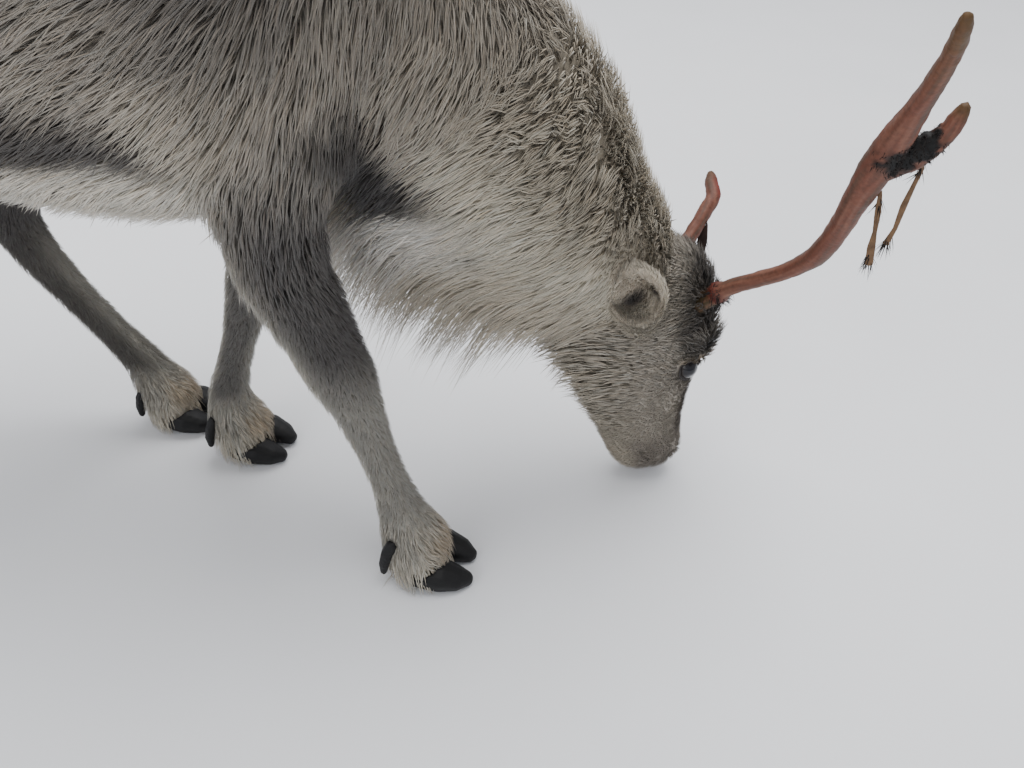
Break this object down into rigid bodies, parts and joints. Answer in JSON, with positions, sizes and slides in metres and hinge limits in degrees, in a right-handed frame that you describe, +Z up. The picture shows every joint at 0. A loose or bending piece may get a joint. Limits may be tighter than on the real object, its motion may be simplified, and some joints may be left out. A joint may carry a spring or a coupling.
{
  "type": "reindeer",
  "caption": "Life-size still model of a grazing reindeer cow in winter coat, walking with her head down, with slender velvet-shedding antlers",
  "frame": {"origin": "centre of the bounding box's underside, on the floor", "axes": "+X is the way the animal faces, +Y is its left, +Z is up"},
  "size_m": [1.4272, 0.4966, 0.945],
  "materials": {
    "coat": "dense grey-brown winter hair, paler on the neck and belly",
    "antler": "smooth reddish-brown antler with olive tips",
    "velvet": "dark dried strands of shed velvet",
    "hoof": "dark horn",
    "eye": "wet dark eye"
  },
  "bodies": {
    "root": {"torso": "coat", "tail": "coat", "neck_lower": "coat", "neck_upper": "coat", "head": "coat", "eye_left": "eye", "ear_left": "coat", "antler_left_base": "antler", "antler_left_beam": "antler", "eye_right": "eye", "ear_right": "coat", "antler_right_base": "antler", "antler_right_beam": "antler", "antler_right_main_tine": "antler", "antler_right_second_tine": "antler", "antler_right_velvet_front": "velvet", "antler_right_velvet_back": "velvet", "antler_left_velvet": "velvet", "leg_front_right_upper": "coat", "leg_front_right_cannon": "coat", "leg_front_right_foot": "coat", "claw_front_right_outer": "hoof", "dewclaw_front_right_outer": "hoof", "claw_front_right_inner": "hoof", "dewclaw_front_right_inner": "hoof", "leg_front_left_upper": "coat", "leg_front_left_cannon": "coat", "leg_front_left_foot": "coat", "claw_front_left_outer": "hoof", "dewclaw_front_left_outer": "hoof", "claw_front_left_inner": "hoof", "dewclaw_front_left_inner": "hoof", "leg_hind_right_upper": "coat", "leg_hind_right_cannon": "coat", "leg_hind_right_foot": "coat", "claw_hind_right_outer": "hoof", "dewclaw_hind_right_outer": "hoof", "claw_hind_right_inner": "hoof", "dewclaw_hind_right_inner": "hoof", "leg_hind_left_upper": "coat", "leg_hind_left_cannon": "coat", "leg_hind_left_foot": "coat", "claw_hind_left_outer": "hoof", "dewclaw_hind_left_outer": "hoof", "claw_hind_left_inner": "hoof", "dewclaw_hind_left_inner": "hoof"}
  },
  "joints": []
}
